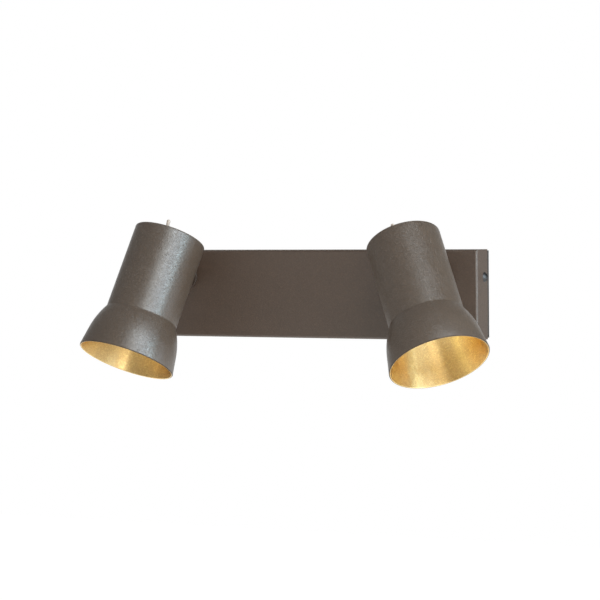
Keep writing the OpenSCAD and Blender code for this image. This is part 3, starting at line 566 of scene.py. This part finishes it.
# Switch levers: moulded ivory plastic, one bat on a ball that sits in the bushing. The
# bat swells from a thin neck to a round tip.
switch_side, switch_front, lever_lean = 2.0, 12.7, np.radians(15)
ball_r, neck_r, bat_r, lever_top = 2.2, 0.95, 1.5, 9.317
neck_start, ball_end, swell = 2.3, np.radians(62), 1.3
ball_steps, bat_steps, tip_steps, lever_turns = 14, 16, 12, 48
ball = arc((0, 0), ball_r, -np.pi / 2, ball_end, ball_steps)
bat_height = np.linspace(neck_start, lever_top - bat_r, bat_steps)
bat_share = (bat_height - bat_height[0]) / np.ptp(bat_height)
bat_radius = neck_r + (bat_r - neck_r) * np.sin(bat_share * np.pi / 2) ** swell
tip = arc((0, lever_top - bat_r), bat_r, 0, np.pi / 2, tip_steps)[1:]
lever_profile = np.vstack([ball, np.stack([bat_radius, bat_height], 1), tip])
lever_profile[[0, -1], 0] = 0
lever_points, lever_faces = turned(lever_profile, lever_turns)
# The switch stands upside down in the head, and its lever leans to the front
lever_turn = turn_x(np.pi) @ turn_x(lever_lean)
lever_points = lever_points @ lever_turn.T + [switch_side, switch_front, 0]
ivory = moulded("ivory", (0.74, 0.65, 0.55), 0.3, coat=0.2)
for side in ("left", "right"):
    new_piece(
        f"toggle_bat_{side}", in_head(side, lever_points), lever_faces, ivory,
        f"lever_{side}", "ivory_plastic", f"switch_lever_{side}",
    )

# Leads: stranded wire with round silicone insulation, clamped in the terminal block and
# soldered at the switch. They are bent by hand, so each runs on one smooth curve through
# the places where it is held.
lead_r, lead_steps = 0.9, 12


def smooth_way(stops, steps):
    """Cubic curve through the stops: between two of them it leans towards their neighbours."""
    stops = np.asarray(stops, float)
    padded = np.vstack([stops[:1], stops, stops[-1:]])
    before, start, end, after = (padded[k:k + len(stops) - 1, None] for k in range(4))
    share = np.linspace(0, 1, steps, endpoint=False)[None, :, None]
    way = 0.5 * (
        2 * start
        + (end - before) * share
        + (2 * before - 5 * start + 4 * end - after) * share ** 2
        + (3 * start - before - 3 * end + after) * share ** 3
    )
    return np.vstack([way.reshape(-1, 3), stops[-1:]])


def tube(way, radius, sides=20):
    """A circle of a given radius carried along a way, with both ends closed by a fan."""
    along = np.gradient(way, axis=0)
    along /= np.linalg.norm(along, axis=1, keepdims=True)
    never_along = [0.31, 0.93, 0.19]
    first = np.cross(along, never_along)
    first /= np.linalg.norm(first, axis=1, keepdims=True)
    second = np.cross(along, first)
    turn = np.linspace(0, 2 * np.pi, sides, endpoint=False)[None, :, None]
    spread = np.cos(turn) * first[:, None] + np.sin(turn) * second[:, None]
    rings = way[:, None] + radius * spread
    points = np.vstack([rings.reshape(-1, 3), way[:1], way[-1:]])
    return points, skin(len(way), sides)


def together(*solids):
    """Several solids in one mesh: the point numbers of each go on from the one before."""
    first = np.cumsum([0] + [len(points) for points, _ in solids])
    points = np.vstack([points for points, _ in solids])
    faces = [grid + at for at, (_, grids) in zip(first, solids) for grid in grids]
    return points, faces


insulation = moulded("silicone_insulation", (0.20, 0.075, 0.035), 0.5, size=0.0004, speck=0.1)
entry_y, entry_z, entry_depth, pole_spacing = -7.7, 14.5, 9.0, 8.0
loom_z, loom_start, loom_end, stem_back_y = 28.0, 40.0, 34.0, -19.1
core_gap, side_gap, pole_gap = 2.6, 1.4, 1.1
for side, hand in joint_sign.items():
    stem_x = hand * joint_x
    cores = []
    for core in (0, 1):
        rank = core if hand < 0 else 1 - core
        apart = (rank - 0.5) * core_gap
        layer_y = entry_y - 1 + hand * side_gap
        pole_x = (core - 1) * pole_spacing + hand * pole_gap
        cores.append(tube(smooth_way([
            (pole_x, entry_y, entry_z - entry_depth + 2),
            (pole_x, entry_y, entry_z - 2),
            (pole_x, entry_y, entry_z + 2),
            (pole_x + hand * 3, layer_y, loom_z - 3 + apart),
            (pole_x + hand * 9, layer_y, loom_z - 0.5 + apart),
            (hand * loom_start, layer_y, loom_z + apart),
            (stem_x - hand * loom_end, layer_y, loom_z - 0.5 + apart),
            (stem_x - hand * 7 + hand * apart, layer_y + 1, joint_z + 7 + apart),
            (stem_x + hand * apart, stem_back_y + 6, joint_z),
            (stem_x + hand * apart, stem_back_y + 1, joint_z),
            (stem_x + hand * apart, stem_back_y - 5, joint_z),
        ], lead_steps), lead_r))
    new_piece(
        f"loom_{side}", *together(*cores), insulation,
        "wall_unit", "silicone_lead", f"inner_leads_{side}",
    )

stub_y, holder_side, holder_mid, lug_y, lug_z = -20.6, 14.0, 15.5, 14.6, 12.7
lug_left, lug_right, port_y, port_x = switch_side - 4.7, switch_side + 4.7, 3.0, -12.0
head_ways = [
    [
        (1.2, stub_y - 5, rear_rise), (1.2, stub_y + 1, rear_rise),
        (5, stub_y + 5, rear_rise - 0.5), (holder_side + 1, -12, holder_mid + 3),
        (holder_side + 3.5, -6, holder_mid), (holder_side + 3, 2, lug_z + 1),
        (holder_side - 1, 11, lug_z), (lug_right + 3, lug_y, lug_z),
        (lug_right - 0.6, lug_y, lug_z),
    ],
    [
        (-1.2, stub_y - 5, rear_rise), (-1.2, stub_y + 1, rear_rise),
        (-5, stub_y + 5, rear_rise - 0.5), (-holder_side - 1, -12, holder_mid + 3),
        (-holder_side - 3.5, -6, holder_mid), (-holder_side - 1.5, -port_y, holder_mid),
        (port_x, -port_y, holder_mid),
    ],
    [
        (lug_left + 0.6, lug_y, lug_z), (lug_left - 3, lug_y, lug_z),
        (-holder_side + 1, 12, lug_z + 1), (-holder_side - 2.5, 7, holder_mid),
        (-holder_side - 1.5, port_y, holder_mid), (port_x, port_y, holder_mid),
    ],
]
head_leads = [tube(smooth_way(way, lead_steps), lead_r) for way in head_ways]
head_lead_points, head_lead_faces = together(*head_leads)
for side in ("left", "right"):
    new_piece(
        f"head_wires_{side}", in_head(side, head_lead_points), head_lead_faces, insulation,
        f"head_{side}", "silicone_lead", f"head_leads_{side}",
    )

# Earth lead: green insulation with yellow stripes, and a tinned ring tongue that is
# crimped to its end and held under the nut of the stud.
stud_x, stud_z, tongue_y, tongue_r, tongue_bore, tongue_t = 34.0, 14.0, -2.1, 4.0, 2.05, 0.8
sleeve_r, stripe_scale, stripe_wobble = 1.35, 90, 1.5
earth_steps, sleeve_steps = 14, 8
grain_size, grain_depth, grain_strength = 0.0004, 0.00003, 0.4
earth_way = smooth_way([
    (pole_spacing, entry_y, entry_z - entry_depth + 2),
    (pole_spacing, entry_y, entry_z + 2),
    (pole_spacing + 5, entry_y + 1, entry_z + 6),
    (stud_x - 12, entry_y + 2, stud_z + 2),
    (stud_x - 6, -3.1, stud_z),
    (stud_x - 4, -2.9, stud_z),
], earth_steps)
earth_green, earth_tree, earth_shader = new_material("earth_insulation")
earth_place = earth_tree.nodes.new("ShaderNodeTexCoord")
earth_bands = earth_tree.nodes.new("ShaderNodeTexWave")
earth_bands.bands_direction = "Z"
earth_bands.inputs["Scale"].default_value = stripe_scale
earth_bands.inputs["Distortion"].default_value = stripe_wobble
earth_tree.links.new(earth_place.outputs["Object"], earth_bands.inputs["Vector"])
earth_colour = ramp(earth_tree, earth_bands.outputs["Fac"], [
    (0.45, (0.02, 0.22, 0.04)),
    (0.55, (0.72, 0.62, 0.03)),
])
earth_tree.links.new(earth_colour, earth_shader.inputs["Base Color"])
earth_shader.inputs["Roughness"].default_value = 0.45
bump(earth_tree, earth_shader, [(clouds(earth_tree, grain_size, 2), grain_depth, grain_strength)])
new_piece(
    "earth_wire", *tube(earth_way, lead_r), earth_green,
    "wall_unit", "earth_sleeve", "earth_lead",
)


def washer(inner, outer, back, front, count=64):
    """A flat ring with rounded edges: its closed outline is carried round the Y axis."""
    edge = min(0.15, (front - back) / 3)
    outline = np.array([
        (inner, back + edge), (inner, front - edge), (inner + edge, front), (outer - edge, front),
        (outer, front - edge), (outer, back + edge), (outer - edge, back), (inner + edge, back),
    ])
    turn = np.linspace(0, 2 * np.pi, count, endpoint=False)[:, None]
    points = np.stack([
        np.cos(turn) * outline[:, 0],
        0 * turn - outline[:, 1],
        np.sin(turn) * outline[:, 0],
    ], -1).reshape(-1, 3)
    sides = len(outline)
    around = np.arange(count)[:, None] * sides
    step = (around + sides) % (count * sides)
    corner = np.arange(sides)
    next_corner = (corner + 1) % sides
    quads = [around + corner, around + next_corner, step + next_corner, step + corner]
    return points, [np.stack(quads, -1).reshape(-1, 4)]


ring_points, ring_faces = washer(tongue_bore, tongue_r, 0, tongue_t)
sleeve_ends = [(stud_x - 7.5, -3.15, stud_z), (stud_x - 3.6, -2.75, stud_z)]
sleeve = tube(smooth_way(sleeve_ends, sleeve_steps), sleeve_r)
tinned = plated("tinned_copper", (0.66, 0.65, 0.62), 0.32)
new_piece(
    "ring_tongue", *together((ring_points + [stud_x, tongue_y, stud_z], ring_faces), sleeve),
    tinned, "wall_unit", "zinc_steel",
)

# Studio: a white room behind the lamp that the camera, gloss and glass see, and a dimmer
# one in front of it. Light from all round falls on the object at a plain level.
world = bpy.data.worlds.new("white_room")
bpy.context.scene.world = world
world.use_nodes = True
room = world.node_tree
daylight = room.nodes["Background"]
daylight.inputs["Color"].default_value = (1.0, 0.93, 0.90, 1)
daylight.inputs["Strength"].default_value = 0.38


def add_node(tree, kind, operation=None):
    """A new shader node of a kind, with its operation where it has one."""
    node = tree.nodes.new("ShaderNode" + kind)
    if operation:
        node.operation = operation
    return node


def any_ray(tree, *kinds):
    """1 where a ray is of one of these kinds, and 0 elsewhere."""
    path = add_node(tree, "LightPath")
    result = path.outputs[kinds[0]]
    for kind in kinds[1:]:
        either = add_node(tree, "Math", "MAXIMUM")
        tree.links.new(result, either.inputs[0])
        tree.links.new(path.outputs[kind], either.inputs[1])
        result = either.outputs[0]
    return result


def mixed(tree, amount, first, second):
    """Goes from the first shader to the second by an amount from another node."""
    node = add_node(tree, "MixShader")
    tree.links.new(amount, node.inputs["Fac"])
    tree.links.new(first, node.inputs[1])
    tree.links.new(second, node.inputs[2])
    return node.outputs[0]


# The gloss goes from the dim front of the room to its white rear by the ray's direction
dim_until, dim_front, white_rear = 0.68, 0.25, 1.0
ray = add_node(room, "TexCoord")
behind = add_node(room, "VectorMath", "DOT_PRODUCT")
behind.inputs[1].default_value = -back
room.links.new(ray.outputs["Generated"], behind.inputs[0])
depth = add_node(room, "MapRange")
depth.interpolation_type = "SMOOTHSTEP"
depth.inputs["From Min"].default_value = dim_until
depth.inputs["From Max"].default_value = 1.0
depth.inputs["To Min"].default_value = dim_front
depth.inputs["To Max"].default_value = white_rear
room.links.new(behind.outputs["Value"], depth.inputs["Value"])
glossed = add_node(room, "Background")
seen = add_node(room, "Background")
for white in (glossed, seen):
    white.inputs["Color"].default_value = (1, 1, 1, 1)
room.links.new(depth.outputs["Result"], glossed.inputs["Strength"])
seen.inputs["Strength"].default_value = white_rear
lit = mixed(room, any_ray(room, "Is Glossy Ray"), daylight.outputs[0], glossed.outputs[0])
plain = any_ray(room, "Is Camera Ray", "Is Transmission Ray")
room.links.new(
    mixed(room, plain, lit, seen.outputs[0]),
    room.nodes["World Output"].inputs["Surface"],
)

# Lamps: soft boxes, most of them to the right of the camera, where the photograph has its
# highlights. Azimuth and elevation are in degrees, sides in metres, strength in watts.
lamp_reach = 1.6
cool = (0.90, 1.0, 1.15)


def soft_lamp(name, azimuth_deg, elevation_deg, width, height, watts, colour):
    """Area light that looks at the origin from an azimuth and an elevation."""
    data = bpy.data.lights.new(name, "AREA")
    data.shape = "RECTANGLE"
    data.size = width
    data.size_y = height
    data.energy = watts
    data.color = colour
    lamp = bpy.data.objects.new(name, data)
    bpy.context.scene.collection.objects.link(lamp)
    lamp_axes = camera_axes(np.radians(azimuth_deg), np.radians(elevation_deg), 0)
    place = np.eye(4)
    place[:3, :3] = np.stack(lamp_axes, axis=1)
    place[:3, 3] = lamp_axes[2] * lamp_reach
    lamp.matrix_world = place.T.tolist()


for lamp in (
    ("key_lamp", 60, 14, 0.95, 1.5, 9.6, cool),
    ("side_lamp", 80, 6, 0.6, 0.8, 6.4, (0.78, 1.0, 1.10)),
    ("front_lamp", 30, 4, 0.6, 0.6, 4.0, (1.06, 1.0, 0.92)),
    ("upper_fill", 45, 36, 0.9, 0.6, 5.0, (0.96, 1.0, 1.02)),
    ("rear_right_lamp", 104, -6, 0.6, 0.6, 1.8, cool),
    ("low_left_lamp", -85, -40, 0.8, 0.8, 1.5, (1.14, 1.0, 0.84)),
):
    soft_lamp(*lamp)

# Floor: far below the lamp, white to the camera, gloss and glass with a little of its own
# shade, so that it meets the white room without an edge and keeps the shadow.
floor_z, floor_half, white_share, white_level = -1.3, 7.0, 0.85, 1.16
floor = bpy.data.meshes.new("studio_floor")
floor_corners = np.array([[-1, -1, 0], [1, -1, 0], [1, 1, 0], [-1, 1, 0]]) * floor_half
floor.from_pydata((floor_corners + [0, 0, floor_z]).tolist(), [], [[0, 1, 2, 3]])
floor_object = bpy.data.objects.new("studio_floor", floor)
bpy.context.scene.collection.objects.link(floor_object)
floor_material, floor_tree, floor_shader = new_material("pale_floor")
floor_shader.inputs["Base Color"].default_value = (0.82, 0.82, 0.82, 1)
floor_shader.inputs["Roughness"].default_value = 0.9
glow = add_node(floor_tree, "Emission")
glow.inputs["Strength"].default_value = white_level
share = add_node(floor_tree, "Math", "MULTIPLY")
share.inputs[1].default_value = white_share
floor_seen = any_ray(floor_tree, "Is Camera Ray", "Is Glossy Ray", "Is Transmission Ray")
floor_tree.links.new(floor_seen, share.inputs[0])
floor_tree.links.new(
    mixed(floor_tree, share.outputs[0], floor_shader.outputs[0], glow.outputs[0]),
    floor_tree.nodes["Material Output"].inputs["Surface"],
)
floor.materials.append(floor_material)

bpy.context.scene.view_settings.view_transform = "Standard"
